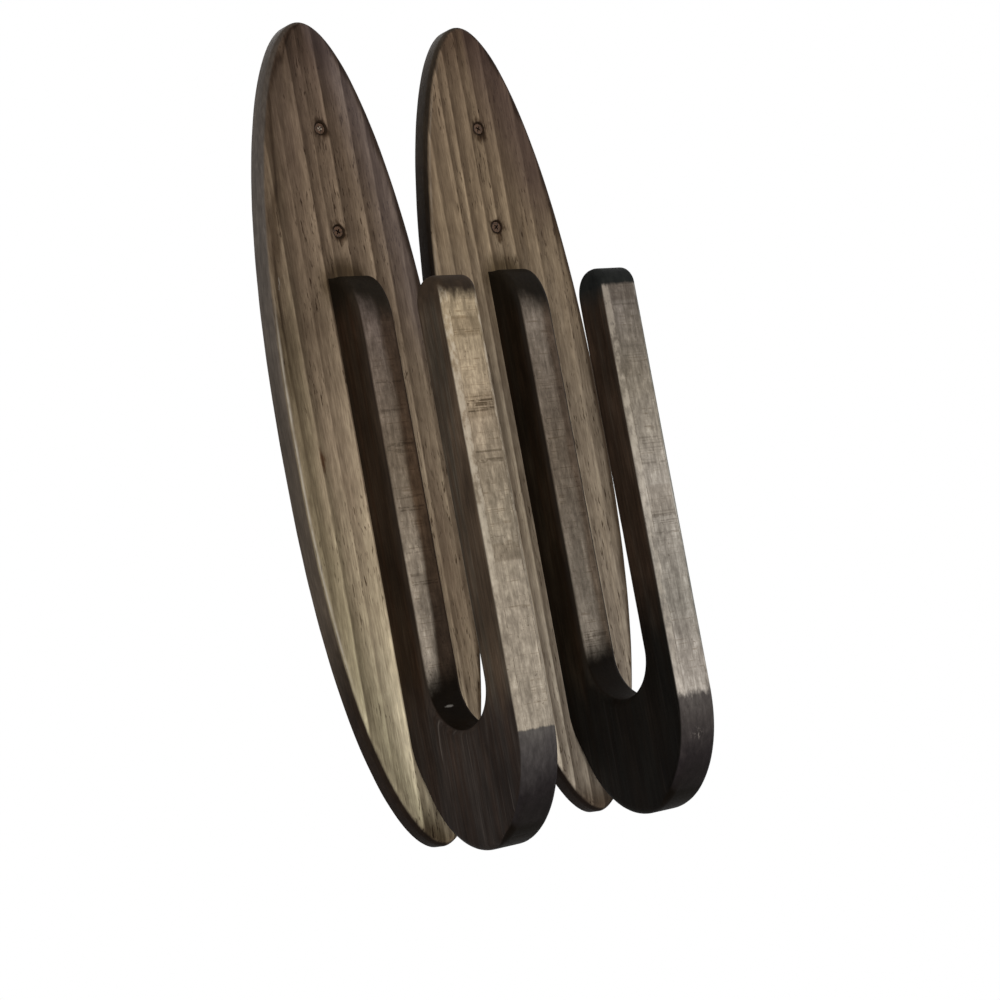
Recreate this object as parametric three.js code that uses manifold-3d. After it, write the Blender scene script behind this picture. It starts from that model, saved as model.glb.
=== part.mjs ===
import * as THREE from 'three';
import { mergeVertices } from 'three/addons/utils/BufferGeometryUtils.js';
import Module from 'manifold-3d';

const wasm = await Module();
wasm.setup();

// A pair of wooden wall racks for surfboards, hung side by side. Each rack is a backboard with the
// outline of a longboard, and an upright U-shaped cradle whose inner leg is screwed to it.
// Lengths are in millimetres. +Z is up, +X runs to the right along the wall and +Y goes into the
// wall. The origin lies on the wall, halfway between the racks and at the backboards' mid-height.

// Backboard
const boardLength = 686;
const boardWidth = 165;
const boardThickness = 18;
const boardFrontRound = 6.4;
const boardBackRound = 1.5;
const rackGap = 3;

// Powers of the backboard's outline, which set how full its upper and lower halves are
const upperHeightPower = 2.1;
const upperWidthPower = 1.95;
const lowerHeightPower = 2.4;
const lowerWidthPower = 1.82;

// Cradle, cut from one plank that stands square to the backboard
const plankThickness = 38;
const innerLegDepth = 31;
const slotWidth = 73;
const outerLegDepth = 36;
const cradleDrop = 218;
const outerLegDrop = 29;
const slotDepth = 378;
const slotFloorDepth = 96;
const bottomCurveHeight = 93;
const cradleRound = 6.4;

// Rounded leg tops: how far each rounding runs across its leg and down it
const innerTopRunShare = 0.84;
const innerTopHeight = 42;
const outerTopSlotRunShare = 0.54;
const outerTopSlotHeight = 23;
const outerTopFrontRunShare = 0.4;
const outerTopFrontHeight = 15;

// Screws that hold each backboard to the wall, from the front
const wallScrewHeadRadius = 4.7;
const wallScrewShankRadius = 2.4;
const wallScrewLength = 60;
const wallScrewSink = 0.9;
const upperWallScrewDrop = 92;
const wallScrewSpacing = 87;

// Screws that hold each cradle to its backboard, from the back
const cradleScrewHeadRadius = 4.1;
const cradleScrewShankRadius = 2;
const cradleScrewLength = 38;
const cradleScrewSink = 0.5;
const cradleScrewCount = 4;
const cradleScrewInset = 32;

// Parts of a screw
const headRim = 0.5;
const screwPointLength = 7;
const recessSpan = 5;
const recessTipSpan = 2.2;
const recessWidth = 1.1;
const recessDepth = 2.4;

// Fits
const screwClearance = 0.3;
const cutOverrun = 2;

// Smoothness of the curves
const boardQuarterSteps = 24;
const edgeRoundSteps = 3;
const bottomSteps = 28;
const slotSteps = 20;
const legTopSteps = 7;
const screwSides = 16;
const holeSides = 20;

// Heights on a rack
const boardTop = boardLength / 2;
const innerLegTop = boardTop - cradleDrop;
const outerLegTop = innerLegTop - outerLegDrop;
const slotFloor = innerLegTop - slotDepth;
const cradleBottom = slotFloor - slotFloorDepth;
const upperWallScrewHeight = boardTop - upperWallScrewDrop;

// Distances from the wall
const seat = boardThickness;
const innerSlotFace = seat + innerLegDepth;
const outerSlotFace = innerSlotFace + slotWidth;
const cradleFront = outerSlotFace + outerLegDepth;

// Directions round an ellipse, in quarter turns
const RIGHT = 0;
const UP = 1;
const LEFT = 2;
const DOWN = 3;
const FULL = 4;

const woodFinish = { roughness: 0.62, metalness: 0 };
const boardMaterial = new THREE.MeshStandardMaterial({ color: 0x7a6b58, ...woodFinish });
const cradleMaterial = new THREE.MeshStandardMaterial({ color: 0x4b4037, ...woodFinish });
const screwMaterial = new THREE.MeshStandardMaterial({ color: 0x4a3d30, roughness: 0.45, metalness: 0.8 });

// Solid from a closed surface, without the empty triangles that a lathe leaves on its axis
function solidOf(geometry) {
  const bare = geometry.clone();
  bare.deleteAttribute('normal');
  bare.deleteAttribute('uv');
  const merged = mergeVertices(bare);
  const corners = merged.index.array;
  const triangles = [];
  for (let i = 0; i < corners.length; i += 3) {
    const [a, b, c] = corners.slice(i, i + 3);
    if (a !== b && b !== c && c !== a) {
      triangles.push(a, b, c);
    }
  }
  return new wasm.Manifold(new wasm.Mesh({
    numProp: 3,
    vertProperties: new Float32Array(merged.attributes.position.array),
    triVerts: new Uint32Array(triangles),
  }));
}

// Surface of a solid, as geometry for a mesh
function geometryOf(solid) {
  const { vertProperties, triVerts } = solid.getMesh();
  const geometry = new THREE.BufferGeometry();
  geometry.setAttribute('position', new THREE.BufferAttribute(vertProperties, 3));
  geometry.setIndex(new THREE.BufferAttribute(triVerts, 1));
  geometry.computeVertexNormals();
  return geometry;
}

// Points along part of an ellipse
function arc(centreU, centreV, radiusU, radiusV, from, to, steps) {
  const points = [];
  for (let i = 0; i <= steps; i += 1) {
    const angle = (from + (to - from) * i / steps) * Math.PI / 2;
    const u = centreU + radiusU * Math.cos(angle);
    const v = centreV + radiusV * Math.sin(angle);
    points.push(new THREE.Vector2(u, v));
  }
  return points;
}

// An anticlockwise outline moved inwards by the same distance all round
function insetOutline(points, inset) {
  return points.map((point, i) => {
    const before = points[(i + points.length - 1) % points.length];
    const after = points[(i + 1) % points.length];
    const arriving = point.clone().sub(before).normalize();
    const leaving = after.clone().sub(point).normalize();
    const inwards = new THREE.Vector2(-arriving.y - leaving.y, arriving.x + leaving.x).normalize();
    const mitre = inwards.y * arriving.x - inwards.x * arriving.y;
    return point.clone().addScaledVector(inwards, inset / mitre);
  });
}

// Insets and heights of a slab's edge, rounded where it starts and where it ends
function edgeRings(thickness, startRound, endRound) {
  const rings = [];
  for (let i = 0; i <= edgeRoundSteps; i += 1) {
    const angle = i / edgeRoundSteps * Math.PI / 2;
    const inset = startRound * (1 - Math.sin(angle));
    const height = startRound * (1 - Math.cos(angle));
    rings.push({ inset, height });
  }
  for (let i = 0; i <= edgeRoundSteps; i += 1) {
    const angle = i / edgeRoundSteps * Math.PI / 2;
    const inset = endRound * (1 - Math.cos(angle));
    const height = thickness - endRound * (1 - Math.sin(angle));
    rings.push({ inset, height });
  }
  return rings;
}

// Slab with the given outline, whose edge follows the rings
function slab(outline, rings, insetRule) {
  const count = outline.length;
  const positions = [];
  const triangles = [];
  for (const { inset, height } of rings) {
    for (const point of insetRule(outline, inset)) {
      positions.push(point.x, point.y, height);
    }
  }
  for (let ring = 0; ring + 1 < rings.length; ring += 1) {
    for (let i = 0; i < count; i += 1) {
      const next = (i + 1) % count;
      const a = ring * count + i;
      const b = ring * count + next;
      triangles.push(a, b, b + count, a, b + count, a + count);
    }
  }
  const last = (rings.length - 1) * count;
  const startFaces = THREE.ShapeUtils.triangulateShape(insetRule(outline, rings[0].inset), []);
  const endFaces = THREE.ShapeUtils.triangulateShape(insetRule(outline, rings.at(-1).inset), []);
  for (const [a, b, c] of startFaces) {
    triangles.push(c, b, a);
  }
  for (const [a, b, c] of endFaces) {
    triangles.push(a + last, b + last, c + last);
  }
  const geometry = new THREE.BufferGeometry();
  geometry.setAttribute('position', new THREE.Float32BufferAttribute(positions, 3));
  geometry.setIndex(triangles);
  return geometry;
}

// Half the backboard's width at a height, given as a share of its half length from the middle
function boardHalfWidth(share) {
  const heightPower = share > 0 ? upperHeightPower : lowerHeightPower;
  const widthPower = share > 0 ? upperWidthPower : lowerWidthPower;
  return boardWidth / 2 * (1 - Math.abs(share) ** heightPower) ** (1 / widthPower);
}

// Backboard outline seen from the front: up its right side, then down its left side
function boardOutline() {
  const points = [];
  const steps = 2 * boardQuarterSteps;
  for (let i = 0; i <= steps; i += 1) {
    const share = Math.sin((i / steps - 1 / 2) * Math.PI);
    points.push(new THREE.Vector2(boardHalfWidth(share), share * boardTop));
  }
  for (let i = steps - 1; i > 0; i -= 1) {
    points.push(new THREE.Vector2(-points[i].x, points[i].y));
  }
  return points;
}

// Cradle outline seen from its left side: across is the distance from the wall, up is height
function cradleOutline() {
  const middle = (seat + cradleFront) / 2;
  const halfDepth = (cradleFront - seat) / 2;
  const bottomCentre = cradleBottom + bottomCurveHeight;
  const slotRadius = slotWidth / 2;
  const slotMiddle = innerSlotFace + slotRadius;
  const innerRun = innerLegDepth * innerTopRunShare;
  const slotRun = outerLegDepth * outerTopSlotRunShare;
  const frontRun = outerLegDepth * outerTopFrontRunShare;
  return [
    ...arc(middle, bottomCentre, halfDepth, bottomCurveHeight, LEFT, FULL, bottomSteps),
    ...arc(cradleFront - frontRun, outerLegTop - outerTopFrontHeight, frontRun,
      outerTopFrontHeight, RIGHT, UP, legTopSteps),
    ...arc(outerSlotFace + slotRun, outerLegTop - outerTopSlotHeight, slotRun,
      outerTopSlotHeight, UP, LEFT, legTopSteps),
    ...arc(slotMiddle, slotFloor + slotRadius, slotRadius, slotRadius, FULL, LEFT, slotSteps),
    ...arc(innerSlotFace - innerRun, innerLegTop - innerTopHeight, innerRun,
      innerTopHeight, RIGHT, UP, legTopSteps),
    new THREE.Vector2(seat, innerLegTop),
  ];
}

// Cradle outline moved inwards, but kept on the backboard where the leg's back lies against it
function insetFromSeat(points, inset) {
  const moved = insetOutline(points, inset);
  return moved.map((point, i) => {
    const offSeat = Math.min(1, (points[i].x - seat) / cradleRound);
    const across = points[i].x + (point.x - points[i].x) * offSeat;
    return new THREE.Vector2(across, point.y);
  });
}

// Half profile of a countersunk screw: its face is at zero and its point at its length
function screwProfile(headRadius, shankRadius, length) {
  return [
    new THREE.Vector2(0, 0),
    new THREE.Vector2(headRadius, 0),
    new THREE.Vector2(headRadius, headRim),
    new THREE.Vector2(shankRadius, headRim + headRadius - shankRadius),
    new THREE.Vector2(shankRadius, length - screwPointLength),
    new THREE.Vector2(0, length),
  ];
}

// Half profile of the hole that such a screw sits in, its head sunk below the face
function holeProfile(headRadius, shankRadius, sink, length) {
  const mouthRadius = headRadius + screwClearance + sink;
  const holeRadius = shankRadius + screwClearance;
  return [
    new THREE.Vector2(0, -cutOverrun),
    new THREE.Vector2(mouthRadius + cutOverrun, -cutOverrun),
    new THREE.Vector2(mouthRadius - sink, sink),
    new THREE.Vector2(mouthRadius - sink, sink + headRim),
    new THREE.Vector2(holeRadius, sink + headRim + mouthRadius - sink - holeRadius),
    new THREE.Vector2(holeRadius, length),
    new THREE.Vector2(0, length),
  ];
}

// Cross-shaped driver recess, narrowing into the head
function driverRecess() {
  const blade = new THREE.Shape([
    new THREE.Vector2(-recessSpan / 2, -cutOverrun),
    new THREE.Vector2(recessSpan / 2, -cutOverrun),
    new THREE.Vector2(recessSpan / 2, 0),
    new THREE.Vector2(recessTipSpan / 2, recessDepth),
    new THREE.Vector2(-recessTipSpan / 2, recessDepth),
    new THREE.Vector2(-recessSpan / 2, 0),
  ]);
  const first = new THREE.ExtrudeGeometry(blade, { depth: recessWidth, bevelEnabled: false });
  first.translate(0, 0, -recessWidth / 2);
  const second = first.clone().rotateY(Math.PI / 2);
  return solidOf(first).add(solidOf(second));
}

function screwGeometry(headRadius, shankRadius, length) {
  const body = new THREE.LatheGeometry(screwProfile(headRadius, shankRadius, length), screwSides);
  return geometryOf(solidOf(body).subtract(driverRecess()));
}

// Heights of the cradle screws, spread evenly over the leg's straight back on the backboard
function cradleScrewHeights() {
  const highest = innerLegTop - cradleScrewInset;
  const lowest = Math.max(cradleBottom + bottomCurveHeight, -boardTop) + cradleScrewInset;
  const heights = [];
  for (let i = 0; i < cradleScrewCount; i += 1) {
    heights.push(highest + (lowest - highest) * i / (cradleScrewCount - 1));
  }
  return heights;
}

const wallScrewHeights = [upperWallScrewHeight, upperWallScrewHeight - wallScrewSpacing];

// Hole for one wall screw, countersunk in the backboard's front
function wallScrewHole(height) {
  const profile = holeProfile(
    wallScrewHeadRadius, wallScrewShankRadius, wallScrewSink, boardThickness + cutOverrun);
  const cutter = new THREE.LatheGeometry(profile, holeSides);
  cutter.translate(0, -boardThickness, height);
  return solidOf(cutter);
}

// Hole for one cradle screw, countersunk in the backboard's back and blind in the cradle's leg
function cradleScrewHole(height) {
  const depth = cradleScrewSink + cradleScrewLength + screwClearance;
  const profile = holeProfile(
    cradleScrewHeadRadius, cradleScrewShankRadius, cradleScrewSink, depth);
  const cutter = new THREE.LatheGeometry(profile, holeSides);
  cutter.rotateZ(Math.PI);
  cutter.translate(0, 0, height);
  return solidOf(cutter);
}

function boardGeometry() {
  const front = Math.min(boardFrontRound, boardThickness / 2);
  const back = Math.min(boardBackRound, boardThickness / 2);
  const rings = edgeRings(boardThickness, back, front);
  const blank = slab(boardOutline(), rings, insetOutline);
  blank.rotateX(Math.PI / 2);
  let board = solidOf(blank);
  for (const height of wallScrewHeights) {
    board = board.subtract(wallScrewHole(height));
  }
  for (const height of cradleScrewHeights()) {
    board = board.subtract(cradleScrewHole(height));
  }
  return geometryOf(board);
}

function cradleGeometry() {
  const round = Math.min(cradleRound, plankThickness / 2);
  const rings = edgeRings(plankThickness, round, round);
  const blank = slab(cradleOutline(), rings, insetFromSeat);
  blank.translate(0, 0, -plankThickness / 2);
  const awayFromWall = new THREE.Vector3(0, -1, 0);
  const upwards = new THREE.Vector3(0, 0, 1);
  const leftwards = new THREE.Vector3(-1, 0, 0);
  blank.applyMatrix4(new THREE.Matrix4().makeBasis(awayFromWall, upwards, leftwards));
  let cradle = solidOf(blank);
  for (const height of cradleScrewHeights()) {
    cradle = cradle.subtract(cradleScrewHole(height));
  }
  return geometryOf(cradle);
}

const boardShape = boardGeometry();
const cradleShape = cradleGeometry();
const wallScrewShape = screwGeometry(wallScrewHeadRadius, wallScrewShankRadius, wallScrewLength);
const cradleScrewShape = screwGeometry(
  cradleScrewHeadRadius, cradleScrewShankRadius, cradleScrewLength);

function namedMesh(name, geometry, material) {
  const mesh = new THREE.Mesh(geometry, material.clone());
  mesh.name = name;
  return mesh;
}

// One rack, its backboard's back on the wall; each screw's recess is turned as it was driven home
function rack(side, turn) {
  const group = new THREE.Group();
  group.add(namedMesh(`${side}_backboard`, boardShape, boardMaterial));
  group.add(namedMesh(`${side}_cradle`, cradleShape, cradleMaterial));
  wallScrewHeights.forEach((height, i) => {
    const screw = namedMesh(`${side}_wall_screw_${i + 1}`, wallScrewShape, screwMaterial);
    screw.position.set(0, wallScrewSink - boardThickness, height);
    screw.rotation.y = turn * (i + 1);
    group.add(screw);
  });
  cradleScrewHeights().forEach((height, i) => {
    const screw = namedMesh(`${side}_cradle_screw_${i + 1}`, cradleScrewShape, screwMaterial);
    screw.position.set(0, -cradleScrewSink, height);
    screw.rotation.set(0, turn * (i + 1), Math.PI);
    group.add(screw);
  });
  return group;
}

const pair = new THREE.Group();
const rackSpacing = boardWidth + rackGap;
const left = rack('left', 0.5);
left.position.x = -rackSpacing / 2;
const right = rack('right', 1.1);
right.position.x = rackSpacing / 2;
pair.add(left, right);

export default pair;
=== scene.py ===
from collections import namedtuple
import math

import bmesh
import bpy
from mathutils import Matrix, Vector, noise


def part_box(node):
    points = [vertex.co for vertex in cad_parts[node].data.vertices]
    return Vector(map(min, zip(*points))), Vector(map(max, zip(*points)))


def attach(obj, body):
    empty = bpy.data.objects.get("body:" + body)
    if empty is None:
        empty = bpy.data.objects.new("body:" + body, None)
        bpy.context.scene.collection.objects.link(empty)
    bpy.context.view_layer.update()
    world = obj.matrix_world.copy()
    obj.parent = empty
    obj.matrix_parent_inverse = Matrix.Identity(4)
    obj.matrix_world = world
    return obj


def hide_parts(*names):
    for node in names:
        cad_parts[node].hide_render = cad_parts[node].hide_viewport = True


# The looks of a pair of wooden surfboard wall racks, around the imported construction.
# Lengths are in metres. +Z is up, +X runs to the right along the wall and +Y goes into the wall.

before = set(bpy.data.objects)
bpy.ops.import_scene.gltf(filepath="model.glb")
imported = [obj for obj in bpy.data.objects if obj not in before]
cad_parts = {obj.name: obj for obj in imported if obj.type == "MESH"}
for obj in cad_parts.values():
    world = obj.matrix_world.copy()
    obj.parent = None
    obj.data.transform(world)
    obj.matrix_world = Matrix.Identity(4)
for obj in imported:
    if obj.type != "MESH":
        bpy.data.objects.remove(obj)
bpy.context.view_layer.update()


def srgb(red, green, blue):
    """Colour for a shader from the three 8-bit values that a picture shows."""
    linear = []
    for value in (red, green, blue):
        share = value / 255
        linear.append(share / 12.92 if share <= 0.04045 else ((share + 0.055) / 1.055) ** 2.4)
    return (*linear, 1)


BOARD_LOW, BOARD_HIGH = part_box("left_backboard")
CRADLE_LOW, CRADLE_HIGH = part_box("left_cradle")

# Backboard
BOARD_HALF_WIDTH = (BOARD_HIGH.x - BOARD_LOW.x) / 2
BOARD_TOP = BOARD_HIGH.z
BOARD_THICKNESS = -BOARD_LOW.y
BOARD_FRONT_ROUND = 0.0064
BOARD_BACK_ROUND = 0.0015
UPPER_POWERS = (2.1, 1.95)
LOWER_POWERS = (2.4, 1.82)

# Cradle
PLANK_THICKNESS = CRADLE_HIGH.x - CRADLE_LOW.x
SEAT = BOARD_THICKNESS
CRADLE_FRONT = -CRADLE_LOW.y
CRADLE_BOTTOM = CRADLE_LOW.z
INNER_TOP = CRADLE_HIGH.z
INNER_LEG_DEPTH = 0.031
OUTER_LEG_DEPTH = 0.036
OUTER_LEG_DROP = 0.029
SLOT_DEPTH = 0.378
BOTTOM_CURVE_HEIGHT = 0.093
CRADLE_ROUND = 0.0064
INNER_TOP_ROUND = (INNER_LEG_DEPTH * 0.84, 0.042)
OUTER_TOP_SLOT_ROUND = (OUTER_LEG_DEPTH * 0.54, 0.023)
OUTER_TOP_FRONT_ROUND = (OUTER_LEG_DEPTH * 0.4, 0.015)
INNER_SLOT_FACE = SEAT + INNER_LEG_DEPTH
OUTER_SLOT_FACE = CRADLE_FRONT - OUTER_LEG_DEPTH
OUTER_TOP = INNER_TOP - OUTER_LEG_DROP
SLOT_FLOOR = INNER_TOP - SLOT_DEPTH

# Screws. A recess has a cross at its mouth and one at its bottom, each a span, a width and a depth
WALL_SHANK = 0.0024
CRADLE_SHANK = 0.002
HEAD_RIM = 0.0005
HEAD_EDGE = 0.00015
SCREW_POINT = 0.007
THREAD_PITCH = 0.0022
THREAD_DEPTH = 0.0006
THREAD_STEPS = 6
PLAIN_SHANK = 0.002
RECESS_WIDTH = 0.0011
RECESS_CROSSES = ((0.005, RECESS_WIDTH, 0), (0.0022, RECESS_WIDTH * 0.8, 0.0024))
CLEARANCE = 0.0003
WALL_SCREW_SINK = 0.0009
CRADLE_SCREW_SINK = 0.0005
OVERRUN = 0.002

# Smoothness of the meshes
BOARD_STEPS = 150
ROUND_STEPS = 8
BOTTOM_STEPS = 72
SLOT_STEPS = 48
TOP_STEPS = 16
LEG_STEPS = 60
LINE_STEP = OUTER_LEG_DEPTH / 5
HEAD_SIDES = 48
SHANK_SIDES = 20
FLOOR_SIDES = 96
SHARP_ANGLE = math.radians(32)

# Wear of the rounded edges, which only ever takes wood away
WEAR_DEPTH = 0.00035
WEAR_LENGTH = 0.022
FLAT_MARGIN = 0.0008

# Camera, as the photograph was taken
CAMERA_AZIMUTH = math.radians(39.34154)
CAMERA_ELEVATION = math.radians(-4.4388)
CAMERA_ROLL = math.radians(-10.35689)
CAMERA_DISTANCE = 2.05865
CAMERA_TARGET = Vector((-0.00982, -0.07, -0.07604))
CAMERA_LENS = 91.127
CAMERA_SENSOR = 36

# Floor, surround and lamps: each lamp's name, place, size across, power and colour
FLOOR_HEIGHT = -1.05
FLOOR_RADIUS = 3.0
FLOOR_FADE = (FLOOR_RADIUS * 0.45, FLOOR_RADIUS * 0.98)
FLOOR_COLOUR = (0.86, 0.86, 0.85, 1)
FLOOR_ROUGHNESS = 0.85
SURROUND_COLOUR = (1, 1, 1, 1)
AMBIENT = 0.45
LAMP_AIM = Vector((0, -0.08, -0.05))
LAMPS = (
    ("key", (-1.9, -2.5, 0.8), 1.3, 60, (1, 0.985, 0.96)),
    ("right", (2.4, -1.6, 1.0), 1.8, 14, (1, 1, 1)),
    ("rear", (0.4, 2.6, 1.6), 2.0, 40, (1, 1, 1)),
)

FULL_TURN = 2 * math.pi
QUARTER_TURN = math.pi / 2

# Wood's surface: its gloss and roughness, and the relief of its grain
WOOD_SPECULAR = 0.03
BOARD_ROUGHNESS = (0.5, 0.66)
CRADLE_ROUGHNESS = (0.48, 0.66)
WOOD_RELIEF = 0.0004
WOOD_BUMP = 0.7

# Colours of the boards. A tint multiplies the colour under it
PORE_TINT = srgb(126, 112, 102)
SCORCH_TINT = srgb(188, 190, 180)
SCORCH_LINE_TINT = srgb(172, 164, 157)
RIGHT_EDGE_TINT = srgb(150, 140, 130)
LOW_TIP_TINT = srgb(150, 140, 132)
# Painted shade on the lower right of the board, behind the cradle's slot
LOW_RIGHT_SHADE_TINT = srgb(213, 206, 205)
CROWN_TINT = srgb(215, 210, 208)
HALO_TINT = srgb(168, 162, 149)
STAIN_TINT = srgb(148, 136, 124)
KNOT_TINT = srgb(186, 158, 144)
BOARD_STROKES = srgb(160, 152, 142)
FAR_SIDE = srgb(52, 43, 35)
# Wear and painted sheen along the board's left rounded edge
WEAR_AND_SHEEN_LINE = srgb(160, 152, 140)
HOLE_RIM = srgb(34, 24, 15)

# Colours of the cradles
SAW_BLOCK_TINT = srgb(188, 180, 170)
FAINT_SAW_TINT = srgb(196, 188, 178)
SAW_MARK_TINT = srgb(128, 118, 106)
SPECK_TINT = srgb(160, 152, 144)
RUBBED_WOOD = srgb(172, 162, 147)
COOL_TINT = srgb(184, 194, 202)
CREASE_TINT = srgb(160, 152, 142)
WARM_STREAK_TINT = (1.06, 0.98, 0.92, 1)
COLD_STREAK_TINT = (0.92, 0.99, 1.03, 1)
LOW_FRONT_TINT = srgb(204, 206, 210)
PALE_STREAK = srgb(84, 77, 73)
FLECK = srgb(146, 138, 130)
# Char and painted shade on the downward faces at the cradle's bottom
UNDERSIDE_CHAR_AND_SHADE = srgb(26, 22, 20)
SLOT_FLOOR_DARK = srgb(13, 8, 4)
# Painted highlight on the curved floor of the left slot
SLOT_HIGHLIGHT_COLOUR = srgb(150, 146, 140)
SCRATCH_LINE = srgb(104, 96, 90)
INNER_TOP_CHAR = srgb(23, 18, 12)

# Colours of the screws
STEEL_COAT = srgb(66, 42, 20)
STEEL_GRIME = srgb(26, 16, 8)
STEEL_SHADE = srgb(26, 18, 12)
STEEL_GLINT = srgb(150, 138, 124)
STEEL_METALLIC = 0.55
STEEL_ROUGHNESS = (0.38, 0.6)
STEEL_RELIEF = 0.0001
STEEL_BUMP = 0.4

# How much a tone of one changes red, green and blue
BOARD_CONTRAST = (2.9, 3.1, 3.2)
SMOKE_CONTRAST = (1.9, 2.0, 2.0)
BOARD_SIDE_CONTRAST = (2.6, 2.6, 2.6)
SAWN_CONTRAST = (2.6, 2.7, 2.8)
CRADLE_SIDE_CONTRAST = (4.0, 4.0, 4.0)
CHAR_CONTRAST = (2.4, 2.4, 2.4)
OUTER_TOP_CONTRAST = (3.2, 3.0, 2.8)
INNER_TOP_CONTRAST = (3.0, 3.0, 3.0)

# Single marks: place from the rack's middle and in height, reach both ways, and start and end in reaches
HALO = ((-0.003, INNER_TOP - 0.004), (0.026, 0.022), (1.2, 0.45))
STROKES = ((-0.0645, 0.122), (0.006, 0.01), (1.1, 0.5))
KNOT = ((-0.0555, -0.023), (0.0024, 0.01), (1.3, 0.1))
FLECK_PATCH = ((-0.005, -0.29), (0.009, 0.007), (1.1, 0.3))
# The left slot's mark is a painted highlight on its curved floor
SLOT_HIGHLIGHT = ((-0.0014, -0.233), (0.0042, 0.0011), (1.1, 0.5))

# Marks around a wall screw
STAIN_SHIFT = (0.0005, -0.001)
STAIN_REACH = (0.0085, 0.011)
STAIN_EDGE = (1.15, 0.5)
HOLE_RIM_REACH = (0.0068, 0.0068)
HOLE_RIM_EDGE = (1.08, 0.86)
GLINT_REACH = (0.0022, 0.0018)
GLINT_EDGE = (1.2, 0.5)

# Zones of paint, from where each starts to where it is full. Depths go from the wall to the front
BOARD_FRONT_ZONE = (-0.006, -0.012)
LEFT_HALF = (0.004, -0.004)
LOW_TIP_ZONE = (-0.304, -0.334)
LOW_RIGHT_SHADE_ZONE = (0.012, 0.042)
LOW_LEFT_LIGHT_ZONE = (-0.02, -0.05)
CROWN_ZONE = (0.29, 0.335)
GLINT_ZONE = (-0.01, -0.012)
TOP_SIDE_ZONE = (0.036, 0.012)
INNER_TOP_ZONE = (0.053, 0.021)
OUTER_LEG_ZONE = (0.095, 0.118)
CHARRED_LEG_ZONE = (0.1, 0.12)
LOW_FRONT_DEPTH_ZONE = (0.085, 0.135)
LOW_FRONT_HEIGHT_ZONE = (-0.27, -0.32)
FACING_OUT_ZONE = (0.128, 0.14)
INNER_SLOT_ZONE = (INNER_SLOT_FACE - 0.008, INNER_SLOT_FACE - 0.002)
OUTER_SLOT_ZONE = (OUTER_SLOT_FACE + 0.008, OUTER_SLOT_FACE + 0.002)
LOW_SIDE_ZONE = (-0.195, -0.255)
UNDERSIDE_ZONE = (-0.27, -0.31)
SPLIT_LEAN_START = -0.08
FLECK_BAND = 0.028

# Zones inwards from a board's outline. A line has a middle and a reach
SCORCH_ZONE = (0.036, 0.014)
SCORCH_LINE = (0.009, 0.0045)
SMOKE_FULL = 0.012
RIGHT_EDGE_ZONE = (0.01, 0.004)

# Zones by shares of a board's height, some with the strengths at their ends
SCORCH_LOWER_END = (0.22, 0.4, 0.8, 1.0)
SCORCH_UPPER_END = (0.58, 0.72, 1.0, 0.4)
SCORCH_LINE_END = (0.4, 0.65, 0.2, 1.0)
LOW_RIGHT_SHADE_TOP = (0.5, 0.3)
LOW_LEFT_LIGHT_TOP = (0.5, 0.35)

# Zones by one coordinate of a face's normal
BOARD_SIDE_TURN = (0.9, 0.66)
WEAR_AND_SHEEN_TURN = (0.9, 0.09)
WEAR_AND_SHEEN_SIDE = (-0.05, -0.2)
FAR_SIDE_TURN = (-0.1, 0.1)
FLAT_TURN = (0.16, 0.03)
RUBBED_TURN = (0.07, 0.37)
CREASE_TURN = (0.12, 0.06)
COOL_TURN = (0.03, 0.4)
UNDERSIDE_TURN = (-0.15, -0.95)
SCREW_HEAD_TURN = (0.8, 0.97)

# Half the length over which a colour passes into another
BOARD_SOFTNESS = 0.06
SPLIT_SOFTNESS = 0.004
RUBBED_SOFTNESS = 0.05
SLOT_DARK_SOFTNESS = 0.015

# Growth rings: half width of their sharp edge, and how far noises move it
RING_EDGE = 0.0006
RING_SWAY = 0.006
RING_JITTER = 0.0008

# Scratch on the left cradle's side
SCRATCH_DEPTH = 0.0555
SCRATCH_LEAN_START = -0.262
SCRATCH_LEAN = 0.12
SCRATCH_MIDDLE = -0.253
SCRATCH_HALF_WIDTH = 0.0012
SCRATCH_ENDS = (0.026, 0.014)
SCRATCH_STRENGTH = (-0.5, -0.9, 0.0, 0.4)

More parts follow.
